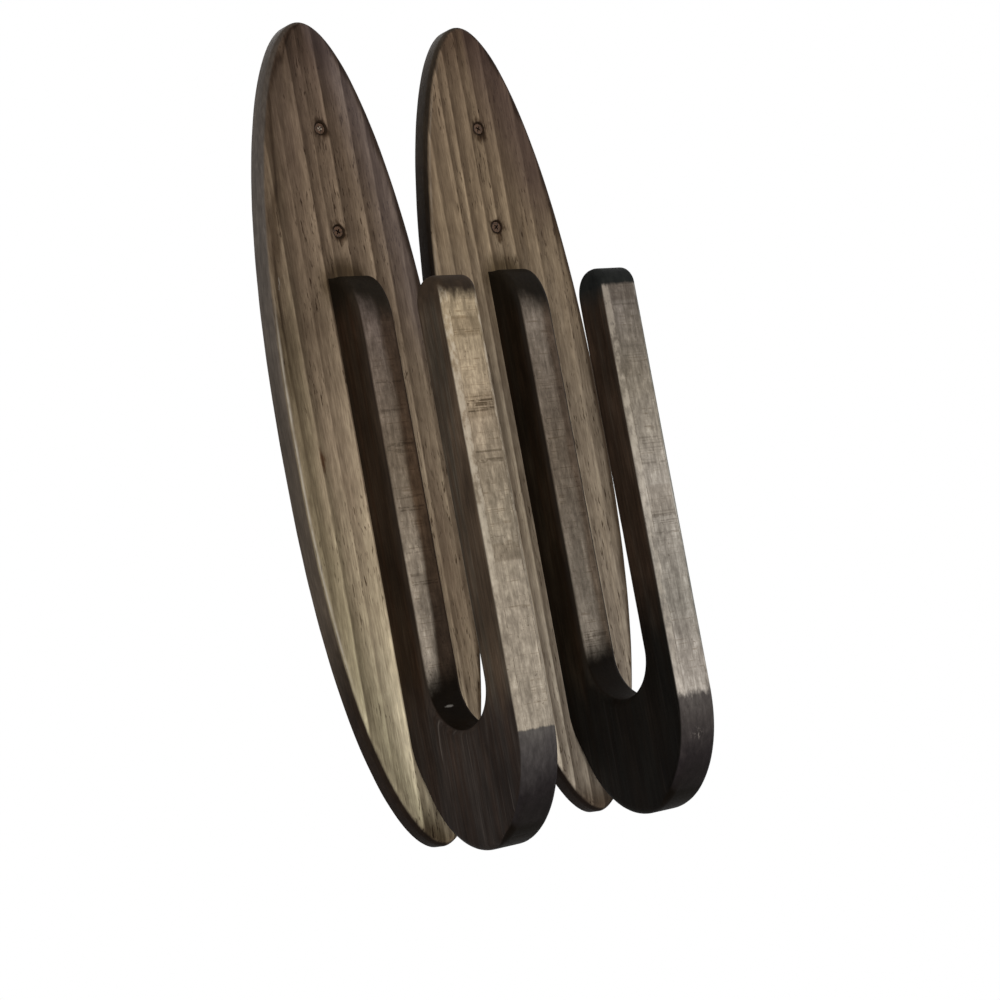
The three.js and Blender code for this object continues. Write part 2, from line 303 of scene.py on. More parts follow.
# Looks of the left and right racks. Runs of colours go upwards, from 0 to 1
SIDES = ("left", "right")
LOOKS = {
    "seed": (3.1, 8.4),
    "screw_turns": ((0.5, 1.0), (1.1, 2.2)),
    # Growth rings: where each ends across the board, and how strongly it shows
    "rings": (
        ((-0.072, 0.4), (-0.057, 0.9), (-0.04, 0.4), (-0.02, 1.0), (-0.009, 0.6), (0.0075, 1.0),
         (0.03, 1.0), (0.045, 0.7), (0.062, 0.5)),
        ((-0.069, 0.4), (-0.054, 0.6), (-0.036, 0.9), (-0.026, 1.0), (-0.01, 0.95), (0.0025, 0.9),
         (0.017, 1.0), (0.043, 0.45), (0.064, 0.4))),
    "board": (
        ((0.0, 146, 134, 115), (0.12, 180, 167, 142), (0.25, 160, 145, 121), (0.46, 138, 121, 101),
         (0.62, 104, 89, 73), (0.8, 91, 76, 62), (1.0, 76, 62, 52)),
        ((0.0, 128, 117, 104), (0.15, 147, 135, 120), (0.35, 142, 128, 110), (0.5, 128, 114, 97),
         (0.64, 118, 103, 85), (0.76, 111, 95, 76), (1.0, 88, 72, 58))),
    "board_side": (
        ((0.0, 24, 17, 12), (0.17, 36, 28, 22), (0.28, 73, 64, 55), (0.42, 72, 64, 56),
         (0.8, 80, 74, 69), (1.0, 60, 52, 45)),
        ((0.0, 26, 19, 15), (0.3, 18, 12, 8), (0.6, 17, 11, 8), (0.8, 27, 21, 15),
         (1.0, 52, 44, 36))),
    # Soot on the board, a pale line of wear and painted sheen on its left edge, painted shade low on its
    # right and painted light low on its left
    "scorch": (0.85, 0.0),
    "worn_line": ((0.2, 0.64, 0.85), (0.6, 0.95, 0.2)),
    "smoke": ((86, 76, 75), (74, 59, 52)),
    "smoke_share": (0.55, 0.85),
    "smoke_reach": (0.046, 0.06),
    "smoke_start": (0.59, 0.75),
    "low_right": (1.0, 0.15),
    "low_left_gain": (0.0, 0.5),
    # Sides of the cradle
    "inner_side": ((38, 28, 20), (28, 21, 14)),
    "outer_side": ((62, 53, 44), (44, 35, 28)),
    "low_side": ((41, 34, 30), (17, 14, 11)),
    "low_shift": (0.0, 0.045),
    "pale_streaks": (0.28, 0.05),
    # Outer face of the cradle
    "front": (
        ((0.0, 150, 140, 126), (0.25, 147, 136, 121), (0.47, 130, 119, 103), (0.7, 138, 123, 104),
         (0.9, 150, 134, 110), (1.0, 150, 134, 110)),
        ((0.0, 158, 150, 141), (0.08, 153, 145, 136), (0.23, 134, 128, 119), (0.47, 159, 151, 141),
         (0.7, 130, 121, 108), (0.9, 106, 98, 90), (1.0, 100, 92, 85))),
    "rubbed_from": (-0.14, -0.24),
    "rubbed": (0.5, 0.36),
    "cool_edge": (0.0, 0.8),
    "saw_marks": (
        ((-0.009, 0.01, 1.0), (-0.05, 0.007, 0.7), (-0.109, 0.01, 0.8), (0.045, 0.008, 0.4)),
        ((0.06, 0.008, 0.4), (0.02, 0.012, 0.3), (-0.06, 0.02, 0.4), (-0.12, 0.016, 0.5))),
    "saw_blocks": (
        ((-0.01, 0.011, 0.5), (0.052, 0.009, 0.6), (-0.125, 0.008, 0.6)),
        ((0.075, 0.01, 0.6), (-0.1, 0.014, 0.5), (0.01, 0.008, 0.3))),
    "front_char": (
        ((0.0, 24, 21, 21), (0.45, 36, 32, 33), (0.8, 66, 62, 61), (1.0, 84, 80, 77)),
        ((0.0, 16, 13, 12), (0.45, 40, 35, 36), (0.8, 64, 59, 57), (1.0, 80, 75, 72))),
    "front_char_height": (-0.2615, -0.2575),
    "front_char_soft": (0.001, 0.0045),
    # Slot of the cradle
    "slot_light": (
        ((0.0, 134, 125, 115), (0.4, 144, 132, 117), (0.62, 116, 103, 88), (1.0, 98, 86, 79)),
        ((0.0, 112, 104, 95), (0.3, 114, 105, 94), (0.6, 100, 89, 77), (1.0, 110, 100, 90))),
    "slot_brown": (
        ((0.0, 46, 37, 30), (0.3, 54, 43, 34), (0.55, 74, 58, 44), (1.0, 58, 46, 37)),
        ((0.0, 78, 68, 58), (0.3, 90, 78, 66), (0.6, 80, 68, 57), (1.0, 74, 62, 52))),
    "soot_lean": (-0.25, 0.09),
    "slot_split": (0.002, 0.0065),
    "slot_split_lean": (0.045, 0.0),
    "slot_char_height": (-0.206, -0.2063),
    # Tops of the legs
    "top_char": (0.0175, 0.0165),
    "top_soft": (0.007, 0.0018),
    "top_grey": ((46, 37, 29), (26, 27, 26)),
    "tongue_lean": (-0.4, -0.15),
}


def looks_of(side):
    return {name: pair[SIDES.index(side)] for name, pair in LOOKS.items()}


def new_object(name, mesh):
    made = bpy.data.objects.new(name, mesh)
    bpy.context.scene.collection.objects.link(made)
    return made


def finish_mesh(name, build):
    """Object from a bmesh, smooth but for its sharp edges."""
    bmesh.ops.recalc_face_normals(build, faces=build.faces)
    mesh = bpy.data.meshes.new(name)
    build.to_mesh(mesh)
    build.free()
    mesh.shade_smooth()
    mesh.set_sharp_from_angle(angle=SHARP_ANGLE)
    return new_object(name, mesh)


def arc(centre, radii, start, end, steps):
    """Points along part of an ellipse, whose ends are given in quarter turns."""
    points = []
    for i in range(steps + 1):
        angle = (start + (end - start) * i / steps) * QUARTER_TURN
        points.append((centre[0] + radii[0] * math.cos(angle), centre[1] + radii[1] * math.sin(angle)))
    return points


def rounded_top(corner, size, side):
    """Quarter ellipse at a top corner of a leg, the right one where side is 1, or the left at -1."""
    start = (1 - side) // 2
    return arc((corner[0] - side * size[0], corner[1] - size[1]), size, start, start + 1, TOP_STEPS)


def line(start, end, steps):
    """Points between two others, without them."""
    return [tuple(Vector(start).lerp(Vector(end), i / steps)) for i in range(1, steps)]


def moved_inwards(points, insets):
    """An anticlockwise outline, each of its points moved inwards by a distance of its own."""
    moved = []
    count = len(points)
    for i, point in enumerate(points):
        here = Vector(point)
        arriving = (here - Vector(points[i - 1])).normalized()
        leaving = (Vector(points[(i + 1) % count]) - here).normalized()
        inwards = Vector((-arriving.y - leaving.y, arriving.x + leaving.x)).normalized()
        mitre = inwards.y * arriving.x - inwards.x * arriving.y
        moved.append(here + inwards * insets[i] / mitre)
    return moved


def board_half_width(share):
    height_power, width_power = UPPER_POWERS if share > 0 else LOWER_POWERS
    return BOARD_HALF_WIDTH * max(0, 1 - abs(share) ** height_power) ** (1 / width_power)


def board_outline():
    """The backboard from the front: up its right side, then down its left side."""
    shares = [math.sin((i / BOARD_STEPS - 1 / 2) * math.pi) for i in range(BOARD_STEPS + 1)]
    rising = [(board_half_width(share), share * BOARD_TOP) for share in shares]
    falling = [(-across, up) for across, up in reversed(rising[1:-1])]
    return rising + falling


def cradle_outline():
    """The cradle from its left side: distance from the wall, and height."""
    middle = (SEAT + CRADLE_FRONT) / 2
    bottom_centre = CRADLE_BOTTOM + BOTTOM_CURVE_HEIGHT
    slot_radius = (OUTER_SLOT_FACE - INNER_SLOT_FACE) / 2
    slot_middle = INNER_SLOT_FACE + slot_radius
    stretches = [
        arc((middle, bottom_centre), (middle - SEAT, BOTTOM_CURVE_HEIGHT), 2, 4, BOTTOM_STEPS),
        rounded_top((CRADLE_FRONT, OUTER_TOP), OUTER_TOP_FRONT_ROUND, 1),
        rounded_top((OUTER_SLOT_FACE, OUTER_TOP), OUTER_TOP_SLOT_ROUND, -1),
        arc((slot_middle, SLOT_FLOOR + slot_radius), (slot_radius, slot_radius), 4, 2, SLOT_STEPS),
        rounded_top((INNER_SLOT_FACE, INNER_TOP), INNER_TOP_ROUND, 1),
        [(SEAT, INNER_TOP)],
    ]
    points = []
    for stretch in stretches:
        if points:
            length = math.dist(points[-1], stretch[0])
            points += line(points[-1], stretch[0], max(1, round(length / LINE_STEP)))
        points += stretch
    points += line(points[-1], stretches[0][0], LEG_STEPS)
    return points


def edge_rings(thickness, start_round, end_round):
    """Insets and heights of a slab's edge, from just inside one flat face to just inside the other."""
    angles = [i / ROUND_STEPS * QUARTER_TURN for i in range(ROUND_STEPS + 1)]
    start = [(start_round * (1 - math.sin(a)), start_round * (1 - math.cos(a))) for a in angles]
    end = [(end_round * (1 - math.cos(a)), thickness - end_round * (1 - math.sin(a))) for a in angles]
    return [(start_round + FLAT_MARGIN, 0), *start, *end, (end_round + FLAT_MARGIN, thickness)]


def worn(point, height, seed):
    """How much wood wear has taken from a point of an edge."""
    place = Vector((point[0], point[1], height)) / WEAR_LENGTH
    return WEAR_DEPTH * (0.5 + 0.5 * noise.noise(place + Vector((seed, 0, 0))))


def bridge(build, loops):
    """Faces between each closed loop of points and the next one."""
    for first, second in zip(loops, loops[1:]):
        for i in range(len(first)):
            j = (i + 1) % len(first)
            build.faces.new((first[i], first[j], second[j], second[i]))


def slab(outline, rings, thickness, place, seed, held=lambda point: 1):
    """Slab of the given outline. held is the share of an inset that a point of the outline takes."""
    build = bmesh.new()
    loops = []
    for inset, height in rings:
        flat = height in (0, thickness)
        insets = []
        for point in outline:
            wear = 0 if flat else worn(point, height, seed)
            insets.append((inset + wear) * held(point))
        moved = moved_inwards(outline, insets)
        loops.append([build.verts.new(place(point[0], point[1], height)) for point in moved])
    bridge(build, loops)
    build.faces.new(loops[0][::-1])
    build.faces.new(loops[-1])
    return build


def lathe(build, rings, sides, place):
    """Open surface through round rings, each a radius, or a rule for it, and a depth."""
    loops = []
    for radius, depth in rings:
        loop = []
        for i in range(sides):
            angle = FULL_TURN * i / sides
            reach = radius(angle) if callable(radius) else radius
            loop.append(build.verts.new(place(reach * math.cos(angle), reach * math.sin(angle), depth)))
        loops.append(loop)
    bridge(build, loops)
    return loops


def cut(piece, cutter_build):
    """Takes a cutter away from a piece."""
    cutter = finish_mesh("cutter", cutter_build)
    modifier = piece.modifiers.new("cut", "BOOLEAN")
    modifier.operation = "DIFFERENCE"
    modifier.solver = "EXACT"
    modifier.object = cutter
    bpy.context.view_layer.update()
    evaluated = piece.evaluated_get(bpy.context.evaluated_depsgraph_get())
    result = bpy.data.meshes.new_from_object(evaluated)
    piece.modifiers.clear()
    piece.data = result
    bpy.data.objects.remove(cutter)
    piece.data.shade_smooth()
    piece.data.set_sharp_from_angle(angle=SHARP_ANGLE)


ScrewPlace = namedtuple("ScrewPlace", "x face z facing head_radius length")


def screw_place(node):
    """Place, facing and size of a screw, from its node: the wall screws face -Y, the others +Y."""
    low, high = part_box(node)
    centre = (low + high) / 2
    facing = -1 if "wall_screw" in node else 1
    face = low.y if facing < 0 else high.y
    head_radius = (high.x - low.x) / 2
    return ScrewPlace(centre.x, face, centre.z, facing, head_radius, high.y - low.y)


def hole_cutter(node, shank_radius, sink, length):
    """Countersunk hole around a screw."""
    spot = screw_place(node)
    surface = spot.face + spot.facing * sink
    mouth = spot.head_radius + CLEARANCE + sink
    hole = shank_radius + CLEARANCE
    rings = [
        (mouth + OVERRUN, -OVERRUN),
        (mouth - sink, sink),
        (mouth - sink, sink + HEAD_RIM),
        (hole, sink + HEAD_RIM + mouth - sink - hole),
        (hole, length),
    ]
    build = bmesh.new()
    loops = lathe(
        build, rings, HEAD_SIDES, lambda a, b, d: (spot.x + a, surface - spot.facing * d, spot.z + b))
    build.faces.new(loops[0])
    build.faces.new(loops[-1])
    return build


def cross_outline(span, width):
    """Corners of a cross, anticlockwise."""
    corners = []
    for quarter in range(4):
        turn = Matrix.Rotation(quarter * QUARTER_TURN, 2)
        for corner in ((span / 2, -width / 2), (span / 2, width / 2), (width / 2, width / 2)):
            corners.append(turn @ Vector(corner))
    return corners


def screw(node, shank_radius, turn):
    """Countersunk screw with a cross recess and a thread."""
    x, face, z, facing, head_radius, length = screw_place(node)

    def place(a, b, depth):
        return (x + a, face - facing * depth, z + b)

    build = bmesh.new()
    neck = HEAD_RIM + head_radius - shank_radius
    thread_start = neck + PLAIN_SHANK
    root = shank_radius - THREAD_DEPTH
    head_rings = [
        (head_radius - HEAD_EDGE, 0),
        (head_radius, HEAD_EDGE),
        (head_radius, HEAD_RIM),
        (shank_radius, neck),
    ]
    shank_rings = [(root, neck + THREAD_DEPTH)]
    steps = math.floor((length - thread_start) / THREAD_PITCH * THREAD_STEPS)
    for i in range(steps):
        depth = thread_start + i * THREAD_PITCH / THREAD_STEPS
        taper = min(1, (length - depth) / SCREW_POINT)
        runout = min(1, (depth - thread_start) / THREAD_PITCH)

        def radius(angle, depth=depth, taper=taper, runout=runout):
            wave = (depth / THREAD_PITCH - angle / FULL_TURN) % 1
            crest = max(0, 1 - abs(wave - 1 / 2) * 4)
            return (root + THREAD_DEPTH * crest * runout) * taper

        shank_rings.append((radius, depth))
    head = lathe(build, head_rings, HEAD_SIDES, place)
    shank = lathe(build, shank_rings, SHANK_SIDES, place)
    build.faces.new(head[-1])
    build.faces.new(shank[0])
    tip = build.verts.new(place(0, 0, length))
    for i in range(SHANK_SIDES):
        build.faces.new((shank[-1][i], shank[-1][(i + 1) % SHANK_SIDES], tip))
    spin = Matrix.Rotation(turn, 2)
    recess = []
    for span, width, depth in RECESS_CROSSES:
        corners = [spin @ corner for corner in cross_outline(span, width)]
        recess.append([build.verts.new(place(c.x, c.y, depth)) for c in corners])
    bridge(build, recess)
    build.faces.new(recess[1])
    rims = []
    for loop in (head[0], recess[0]):
        rims += [build.edges.get((loop[i], loop[(i + 1) % len(loop)])) for i in range(len(loop))]
    bmesh.ops.triangle_fill(build, use_beauty=True, edges=rims)
    return finish_mesh(f"{node}_fine", build)


class Finish:
    """A material with one principled surface, and short calls that add nodes to it."""

    def __init__(self, name, seed=0):
        self.seed = seed
        self.material = bpy.data.materials.new(name)
        self.material.use_nodes = True
        self.surface = self.material.node_tree.nodes["Principled BSDF"]
        self.point = self.node("ShaderNodeTexCoord").outputs["Object"]
        self.x, self.y, self.z = self.node("ShaderNodeSeparateXYZ", self.point).outputs
        normal = self.node("ShaderNodeNewGeometry").outputs["Normal"]
        self.face_x, self.face_y, self.face_z = self.node("ShaderNodeSeparateXYZ", normal).outputs

    def node(self, kind, *values, **settings):
        made = self.material.node_tree.nodes.new(kind)
        for name, value in settings.items():
            setattr(made, name, value)
        for socket, value in zip(made.inputs, values):
            self.feed(socket, value)
        return made

    def feed(self, socket, value):
        if isinstance(value, bpy.types.NodeSocket):
            self.material.node_tree.links.new(value, socket)
        elif value is not None:
            socket.default_value = value

    def math(self, operation, first, second=None, third=None):
        return self.node("ShaderNodeMath", first, second, third, operation=operation).outputs[0]

    def less(self, first, second):
        return self.math("SUBTRACT", first, second)

    def times(self, first, *others):
        for other in others:
            first = self.math("MULTIPLY", first, other)
        return first

    def sum(self, first, *parts):
        """The first value plus others, each given with its factor."""
        for value, factor in parts:
            first = self.math("MULTIPLY_ADD", value, factor, first)
        return first

    def share(self, value, low, high):
        """How far a value has come from one end to the other, without stopping there."""
        return self.math("MULTIPLY_ADD", value, 1 / (high - low), -low / (high - low))

    def size(self, value):
        return self.math("ABSOLUTE", value)

    def most(self, first, second):
        return self.math("MAXIMUM", first, second)

    def step(self, value, low, high, low_result=0.0, high_result=1.0):
        """Smooth step from one value to another."""
        made = self.node("ShaderNodeMapRange", value, low, high, low_result, high_result,
                         interpolation_type="SMOOTHSTEP")
        return made.outputs[0]

    def rise(self, value, middle, soft):
        """Smooth step around a value, which falls where soft is negative."""
        return self.step(value, middle - soft, middle + soft)

    def near(self, value, place, reach):
        """1 at a place, and 0 from a given reach away from it."""
        return self.step(self.size(self.less(value, place)), 0.0, reach, 1.0, 0.0)

    def distance(self, place, radii):
        """Distance from a place, given as x and z, with 1 on the ellipse of the given radii."""
        across = self.times(self.less(self.x, place[0]), 1 / radii[0])
        up = self.times(self.less(self.z, place[1]), 1 / radii[1])
        return self.math("SQRT", self.sum(self.times(across, across), (self.times(up, up), 1.0)))

    def noise(self, width, length, shift, detail, roughness=0.5):
        """Noise about zero, from -0.5 to 0.5, by the width and upright length of its grain."""
        seed = self.seed + shift
        scale = (1 / width, 1 / width, 1 / length)
        offset = (seed, seed * 1.7, seed * 2.3)
        moved = self.node("ShaderNodeVectorMath", self.point, scale, offset, operation="MULTIPLY_ADD")
        made = self.node("ShaderNodeTexNoise", moved.outputs[0], None, 1.0, detail, roughness)
        return self.less(made.outputs[0], 0.5)

    def ramp(self, value, stops):
        """Colour by a value from 0 to 1, from rising places and their colours."""
        made = self.node("ShaderNodeValToRGB", value)
        elements = made.color_ramp.elements
        elements[0].position = stops[0][0]
        elements[1].position = stops[-1][0]
        for place, _ in stops[1:-1]:
            elements.new(place)
        for element, (_, colour) in zip(elements, stops):
            element.color = colour
        return made.outputs[0]

    def mix(self, share, first, second, blend="MIX"):
        made = self.node("ShaderNodeMix", share, data_type="RGBA", blend_type=blend)
        for socket, colour in zip(made.inputs[6:8], (first, second)):
            self.feed(socket, colour)
        return made.outputs[2]

    def tinted(self, colour, tint, share=1.0):
        """Colour times a tint."""
        return self.mix(share, colour, tint, "MULTIPLY")

    def scaled(self, colour, factor):
        return self.tinted(colour, self.node("ShaderNodeCombineColor", factor, factor, factor).outputs[0])

    def contrasted(self, colour, tone, bases):
        """Colour made lighter or darker by a tone about zero, the power of a base for each channel."""
        factors = [self.math("POWER", base, tone) for base in bases]
        return self.tinted(colour, self.node("ShaderNodeCombineColor", *factors).outputs[0])

    def set(self, name, value):
        self.feed(self.surface.inputs[name], value)

    def bump(self, height, distance, strength):
        made = self.node("ShaderNodeBump", strength, distance)
        self.feed(made.inputs["Height"], height)
        self.set("Normal", made.outputs[0])


class Wood(Finish):
    """Sawn softwood whose grain runs upwards, with the noises that its paints share."""

    def __init__(self, side, part, centre, seed_shift):
        self.looks = looks_of(side)
        super().__init__(f"{side}_{part}_wood", self["seed"] + seed_shift)
        self.side = side
        self.centre = centre
        self.across = self.less(self.x, centre)
        self.fibre = self.noise(0.0012, 0.016, 7, 2, 0.6)
        self.streak = self.noise(0.0027, 0.055, 9, 3, 0.65)
        self.stripe = self.noise(0.008, 0.32, 19, 2)

    def __getitem__(self, name):
        """One of this side's looks."""
        return self.looks[name]

    def look_ramp(self, value, name):
        return self.ramp(value, [(place, srgb(*colour)) for place, *colour in self[name]])

    def mark(self, place, reach, edge, *ragged):
        """Share of a single mark, made ragged by noises, each given with its factor."""
        distance = self.distance((self.centre + place[0], place[1]), reach)
        return self.step(self.sum(distance, *ragged), *edge)

    def finished(self, colour, roughness, relief):
        self.set("Base Color", colour)
        self.set("Roughness", self.step(self.fibre, -0.3, 0.3, *roughness))
        self.set("Specular IOR Level", WOOD_SPECULAR)
        self.bump(relief, WOOD_RELIEF, WOOD_BUMP)
        return self.material


class BoardWood(Wood):
    """Wood of a backboard, with height from 0 at its lower end to 1 at its top."""

    def __init__(self, side, centre):
        super().__init__(side, "board", centre, 0)
        self.height = self.share(self.z, -BOARD_TOP, BOARD_TOP)
        self.blotch = self.noise(0.04, 0.11, 11, 3)
        self.mottle = self.noise(0.007, 0.012, 6, 3, 0.6)
        self.on_front = self.step(self.y, *BOARD_FRONT_ZONE)


def ring_pattern(f):
    """Growth rings across a board, each lighter towards its right edge, where it ends sharply."""
    sway = f.noise(0.09, 0.38, 0, 2)
    jitter = f.noise(0.012, 0.05, 2, 2)
    moved = f.sum(f.across, (sway, RING_SWAY), (jitter, RING_JITTER))
    edge = RING_EDGE / BOARD_HALF_WIDTH / 2
    stops = []
    for place, strength in f["rings"]:
        share = (place / BOARD_HALF_WIDTH + 1) / 2
        for shift, tone in ((-edge, 0.5 + 0.5 * strength), (edge, 0.5 - 0.5 * strength)):
            stops.append((share + shift, (tone, tone, tone, 1)))
    return f.less(f.ramp(f.share(moved, -BOARD_HALF_WIDTH, BOARD_HALF_WIDTH), stops), 0.5)


def board_grain(f):
    """Colour of a board with its rings and pores, the tone of that grain, and its relief."""
    wood = f.look_ramp(f.sum(f.height, (f.blotch, 0.16), (f.stripe, 0.2)), "board")
    rings = ring_pattern(f)
    clear = f.step(f.noise(0.03, 0.16, 5, 1), -0.15, 0.15, 0.7, 1.0)
    drift = f.noise(0.0055, 0.026, 29, 3, 0.6)
    tone = f.sum(f.times(rings, f.times(clear, 1.2)), (f.stripe, 0.25), (f.streak, 0.65),
                 (f.fibre, 1.0), (f.mottle, 0.4), (drift, 0.8))
    wood = f.contrasted(wood, tone, BOARD_CONTRAST)
    pores = f.noise(0.0016, 0.012, 13, 2, 0.6)
    pore_place = f.sum(f.noise(0.016, 0.05, 15, 2), (f.across, 1.2))
    pore = f.times(f.step(pores, 0.09, 0.17), f.step(pore_place, -0.12, 0.08))
    wood = f.tinted(wood, PORE_TINT, f.times(pore, 0.9))
    return wood, tone, f.sum(f.times(f.fibre, 0.6), (rings, 0.08), (pore, -0.8))


def inside_outline(f):
    """Distance to a board's outline across its face, by the rule of board_half_width."""
    widths = []
    for end, (height_power, width_power) in ((1.0, UPPER_POWERS), (0.0, LOWER_POWERS)):
        reach = f.math("POWER", f.most(f.share(f.height, 0.5, end), 0.0), height_power)
        widths.append(f.math("POWER", f.most(f.less(1.0, reach), 0.0), 1 / width_power))
    return f.less(f.times(f.math("MINIMUM", *widths), BOARD_HALF_WIDTH), f.size(f.across))


def torched_board(f, wood, tone):
    """Soot: a soft band along the left edge, a smoky zone along the upper right one, and the tips; also
    painted shade low on the right and painted light low on the left.
    """
    inside = f.sum(inside_outline(f), (f.stripe, 0.016), (f.blotch, 0.02))
    on_left = f.step(f.across, *LEFT_HALF)
    on_right = f.less(1.0, on_left)
    scorch = f.times(f.step(inside, *SCORCH_ZONE), on_left, f.step(f.height, *SCORCH_LOWER_END),
                     f.step(f.height, *SCORCH_UPPER_END))
    wood = f.tinted(wood, SCORCH_TINT, f.times(scorch, f["scorch"]))
    dark_line = f.times(f.near(inside, *SCORCH_LINE), on_left, f.step(f.height, *SCORCH_LINE_END))
    wood = f.tinted(wood, SCORCH_LINE_TINT, f.times(dark_line, f["scorch"]))
    upper = f.rise(f.height, f["smoke_start"], BOARD_SOFTNESS)
    smoky = f.times(f.step(inside, f["smoke_reach"], SMOKE_FULL), on_right, upper)
    smoke = f.contrasted(srgb(*f["smoke"]), tone, SMOKE_CONTRAST)
    wood = f.mix(f.times(smoky, f["smoke_share"]), wood, smoke)
    wood = f.tinted(wood, RIGHT_EDGE_TINT, f.times(f.step(inside, *RIGHT_EDGE_ZONE), on_right))
    low_tip = f.step(f.sum(f.z, (f.stripe, 0.02), (f.blotch, 0.03)), *LOW_TIP_ZONE)
    wood = f.tinted(wood, LOW_TIP_TINT, low_tip)
    # Painted shade on the lower right of the board, behind the cradle's slot
    low_right = f.times(f.step(f.across, *LOW_RIGHT_SHADE_ZONE), f.step(f.height, *LOW_RIGHT_SHADE_TOP))
    wood = f.tinted(wood, LOW_RIGHT_SHADE_TINT, f.times(low_right, f["low_right"]))
    # Painted light on the lower left of the right board, where the left rack shades it
    low_left_light = f.times(f.step(f.across, *LOW_LEFT_LIGHT_ZONE), f.step(f.height, *LOW_LEFT_LIGHT_TOP))
    wood = f.scaled(wood, f.sum(1.0, (low_left_light, f["low_left_gain"])))
    return f.tinted(wood, CROWN_TINT, f.step(f.sum(f.z, (f.blotch, 0.04)), *CROWN_ZONE))


def board_marks(f, wood, wall_screws):
    """Scorched halo above the cradle's leg, stain around the screws, and the left board's own marks."""
    halo = f.mark(*HALO, (f.blotch, 0.9), (f.mottle, 0.35))
    wood = f.tinted(wood, HALO_TINT, f.times(halo, f.on_front))
    for spot in wall_screws:
        stain = f.distance((spot.x + STAIN_SHIFT[0], spot.z + STAIN_SHIFT[1]), STAIN_REACH)
        stain = f.sum(stain, (f.mottle, 1.8), (f.streak, 0.5))
        wood = f.tinted(wood, STAIN_TINT, f.times(f.step(stain, *STAIN_EDGE), f.on_front))
    if f.side == "left":
        strokes = f.most(
            f.step(f.noise(0.008, 0.0018, 23, 1), 0.14, 0.22),
            f.step(f.noise(0.0016, 0.01, 25, 1), 0.16, 0.24))
        strokes = f.times(f.mark(*STROKES), f.on_front, strokes, 0.4)
        wood = f.mix(strokes, wood, BOARD_STROKES)
        knot = f.mark(*KNOT, (f.streak, 1.6), (f.mottle, 2.5))
        wood = f.tinted(wood, KNOT_TINT, f.times(knot, f.on_front))
    return wood


def board_edges(f, wood, wall_screws):
    """The sides, a pale line of wear and painted sheen along the rounded edge, and the dark rims of the
    screw holes.
    """
    turned = f.sum(f.size(f.face_y), (f.streak, 0.06), (f.blotch, 0.05))
    side_wood = f.look_ramp(f.sum(f.height, (f.blotch, 0.12)), "board_side")
    far_wood = f.scaled(FAR_SIDE, f.step(f.blotch, -0.2, 0.2, 0.6, 1.4))
    side_wood = f.mix(f.step(f.face_x, *FAR_SIDE_TURN), side_wood, far_wood)
    side_tone = f.sum(f.times(f.streak, 1.2), (f.fibre, 0.8), (f.blotch, 0.9), (f.mottle, 0.6))
    side_wood = f.contrasted(side_wood, side_tone, BOARD_SIDE_CONTRAST)
    wood = f.mix(f.step(turned, *BOARD_SIDE_TURN), wood, side_wood)
    # A pale line of wear and painted sheen along the left rounded edge
    start, end, share = f["worn_line"]
    along = f.times(f.rise(f.height, start, BOARD_SOFTNESS), f.step(f.height, end + 0.06, end - 0.1))
    worn_line = f.times(f.near(turned, *WEAR_AND_SHEEN_TURN), f.step(f.face_x, *WEAR_AND_SHEEN_SIDE))
    broken = f.step(f.noise(0.03, 0.026, 27, 3, 0.6), -0.12, 0.1, 0.4, 1.0)
    wood = f.mix(f.times(worn_line, along, broken, share), wood, WEAR_AND_SHEEN_LINE)
    for spot in wall_screws:
        rim = f.sum(f.distance((spot.x, spot.z), HOLE_RIM_REACH), (f.mottle, 0.7))
        wood = f.mix(f.times(f.step(rim, *HOLE_RIM_EDGE), f.on_front), wood, HOLE_RIM)
    return wood


def board_finish(side, centre, wall_screws):
    """Straight-grained board, torched along its edges and stained darker towards its top."""
    f = BoardWood(side, centre)
    wood, tone, relief = board_grain(f)
    wood = board_marks(f, torched_board(f, wood, tone), wall_screws)
    return f.finished(board_edges(f, wood, wall_screws), BOARD_ROUGHNESS, relief)


class CradleWood(Wood):
    """Wood of a cradle. Its depth is the distance from the wall."""

    def __init__(self, side, centre):
        super().__init__(side, "cradle", centre, 40)
        self.depth = self.times(self.y, -1.0)
        self.blotch = self.noise(0.026, 0.06, 4, 3)
        self.mottle = self.noise(0.007, 0.011, 6, 3, 0.6)
        self.coarse = self.noise(0.0032, 0.007, 22, 3, 0.7)
        self.outer = self.step(self.depth, *OUTER_LEG_ZONE)
        self.facing_out = self.step(self.depth, *FACING_OUT_ZONE)
        self.below_top = self.less(self.sum(INNER_TOP, (self.outer, -OUTER_LEG_DROP)), self.z)


def sawn_faces(f):
    """Narrow faces: the outer one, and those in the slot, pale on the left and brown on the right."""
    height = f.sum(f.share(f.z, f["front_char_height"], OUTER_TOP), (f.blotch, 0.2))
    lowered = f.most(f.less(SPLIT_LEAN_START, f.z), 0.0)
    split = f.sum(f.across, (f.stripe, 0.008), (f.blotch, 0.012), (lowered, f["slot_split_lean"]))
    split = f.rise(split, f["slot_split"], SPLIT_SOFTNESS)
    slot = f.mix(split, f.look_ramp(height, "slot_light"), f.look_ramp(height, "slot_brown"))
    sawn = f.mix(f.facing_out, slot, f.look_ramp(height, "front"))
    tone = f.sum(f.times(f.stripe, 0.8), (f.streak, 1.0), (f.fibre, 0.6), (f.mottle, 1.5),
                 (f.coarse, 1.1), (f.blotch, 1.0))
    return f.contrasted(sawn, tone, SAWN_CONTRAST)


def saw_zones(f, places, soften):
    """Highest share of a set of places up a plank, each a height, a reach and a strength."""
    share = 0.0
    for place, reach, strength in places:
        here = f.step(f.size(f.less(f.z, place)), reach * soften, reach, 1.0, 0.0)
        share = f.most(share, f.times(here, strength))
    return share


